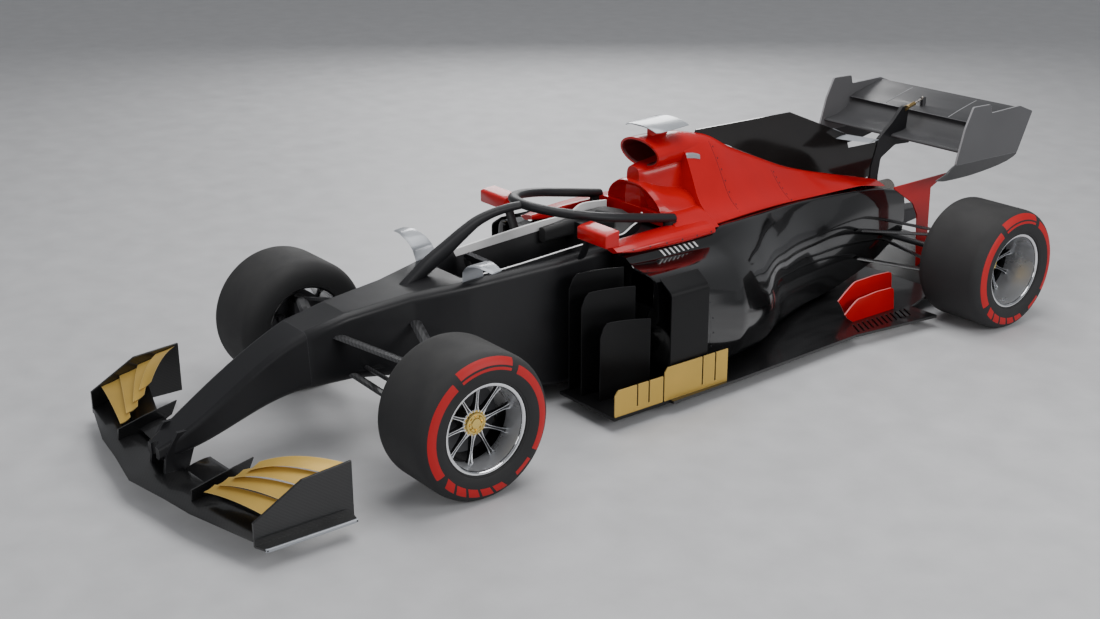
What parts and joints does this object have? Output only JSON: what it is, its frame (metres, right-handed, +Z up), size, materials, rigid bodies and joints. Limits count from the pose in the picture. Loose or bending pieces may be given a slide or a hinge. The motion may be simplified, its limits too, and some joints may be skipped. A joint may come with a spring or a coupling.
{
  "type": "open wheel racing car",
  "caption": "Single seat racing car with open wheels, a hoop over the cockpit, stacked front flaps, a rear wing whose flap opens, and steered front wheels.",
  "frame": {"origin": "on the ground under the middle of the car's box", "axes": "+Z up, -Y towards the nose, +X towards the driver's left; the car is symmetric about X = 0"},
  "size_m": [2.136, 5.427, 1.24],
  "materials": {
    "dark_panel": "satin dark grey paint",
    "halo_coat": "satin dark grey coat",
    "rim_pad": "pale padded cover",
    "seat_shell": "matt black moulded shell",
    "dark_metal": "matt black",
    "red_paint": "glossy red paint",
    "grey_panel": "satin light grey",
    "smoked_fin": "smoked clear panel",
    "gloss_black": "glossy black",
    "carbon": "clear coated woven fibre",
    "plank_board": "worn resin bonded board",
    "cast_metal": "dark cast metal",
    "steel": "heat tinted steel",
    "gold_paint": "satin gold paint",
    "arm_coat": "satin dark coat",
    "wing_grey": "satin dark grey",
    "brass": "satin brass",
    "tyre": "matt black rubber",
    "rim_metal": "polished metal"
  },
  "bodies": {
    "chassis": {"nose": "dark_panel", "monocoque": "dark_panel", "halo": "halo_coat", "headrest": "rim_pad", "seat": "seat_shell", "steering_column": "dark_metal", "engine_cover": "red_paint", "camera_pod": "grey_panel", "shark_fin": "smoked_fin", "fin_wing": "grey_panel", "sidepods": "gloss_black", "sidepod_inlets": "gloss_black", "floor": "carbon", "plank": "plank_board", "engine": "cast_metal", "gearbox": "cast_metal", "diffuser": "carbon", "exhaust": "steel", "bargeboards": "carbon", "floor_vanes": "gold_paint", "front_wing_main": "carbon", "front_wing_flaps": "gold_paint", "front_wing_endplates": "carbon", "horn_winglets": "grey_panel", "mirrors": "red_paint", "front_wishbones": "arm_coat", "rear_wishbones": "arm_coat", "rear_uprights": "cast_metal", "rear_wing_endplates": "wing_grey", "rear_wing_main": "wing_grey", "rear_wing_pylon": "arm_coat", "red_fins": "red_paint"},
    "steering_wheel": {"steering_wheel": "dark_metal"},
    "knuckle_left": {"knuckle_left": "cast_metal"},
    "knuckle_right": {"knuckle_right": "cast_metal"},
    "track_rods": {"track_rods": "arm_coat"},
    "wheel_front_left": {"tyre_front_left": "tyre", "rim_front_left": "rim_metal"},
    "wheel_front_right": {"tyre_front_right": "tyre", "rim_front_right": "rim_metal"},
    "wheel_rear_left": {"tyre_rear_left": "tyre", "rim_rear_left": "rim_metal"},
    "wheel_rear_right": {"tyre_rear_right": "tyre", "rim_rear_right": "rim_metal"},
    "rear_flap": {"rear_wing_flap": "wing_grey"},
    "flap_actuator": {"flap_actuator": "brass"},
    "flap_rod": {"flap_rod": "steel"}
  },
  "joints": [
    {"name": "steer_left", "type": "hinge", "parent": "chassis", "child": "knuckle_left", "pos_m": [0.65, -1.5085, 0.335], "axis": [0, 0, 1], "range_deg": [-16, 16]},
    {"name": "steer_right", "type": "hinge", "parent": "chassis", "child": "knuckle_right", "pos_m": [-0.65, -1.5085, 0.335], "axis": [0, 0, 1], "range_deg": [-16.5, 16.5]},
    {"name": "track_rod_slide", "type": "slide", "parent": "chassis", "child": "track_rods", "axis": [1, 0, 0], "range_m": [-0.0315, 0.0315]},
    {"name": "steering_wheel_turn", "type": "hinge", "parent": "chassis", "child": "steering_wheel", "pos_m": [0, -0.8485, 0.64], "axis": [0, 0.9511, 0.309], "range_deg": [-165, 165]},
    {"name": "wheel_front_left_spin", "type": "hinge", "parent": "knuckle_left", "child": "wheel_front_left", "pos_m": [0.77, -1.5085, 0.335], "axis": [1, 0, 0], "continuous": true},
    {"name": "wheel_front_right_spin", "type": "hinge", "parent": "knuckle_right", "child": "wheel_front_right", "pos_m": [-0.77, -1.5085, 0.335], "axis": [1, 0, 0], "continuous": true},
    {"name": "wheel_rear_left_spin", "type": "hinge", "parent": "chassis", "child": "wheel_rear_left", "pos_m": [0.85, 1.9475, 0.335], "axis": [1, 0, 0], "continuous": true},
    {"name": "wheel_rear_right_spin", "type": "hinge", "parent": "chassis", "child": "wheel_rear_right", "pos_m": [-0.85, 1.9475, 0.335], "axis": [1, 0, 0], "continuous": true},
    {"name": "flap_open", "type": "hinge", "parent": "chassis", "child": "rear_flap", "pos_m": [0, 2.5635, 1.046], "axis": [-1, 0, 0], "range_deg": [0, 12]},
    {"name": "actuator_swing", "type": "hinge", "parent": "chassis", "child": "flap_actuator", "pos_m": [0, 2.2065, 1.01], "axis": [1, 0, 0], "range_deg": [-0.2, 12.1]},
    {"name": "rod_slide", "type": "slide", "parent": "flap_actuator", "child": "flap_rod", "axis": [0, 0.9719, 0.2356], "range_m": [-0.0002, 0.0172]}
  ],
  "couplings": [
    {"joint": "steer_right", "follows": "steer_left", "ratio": 1},
    {"joint": "track_rod_slide", "follows": "steer_left", "m_per_rad": 0.109},
    {"joint": "steering_wheel_turn", "follows": "steer_left", "ratio": 10},
    {"joint": "actuator_swing", "follows": "flap_open", "ratio": 0.9903},
    {"joint": "rod_slide", "follows": "flap_open", "m_per_rad": 0.08121}
  ]
}
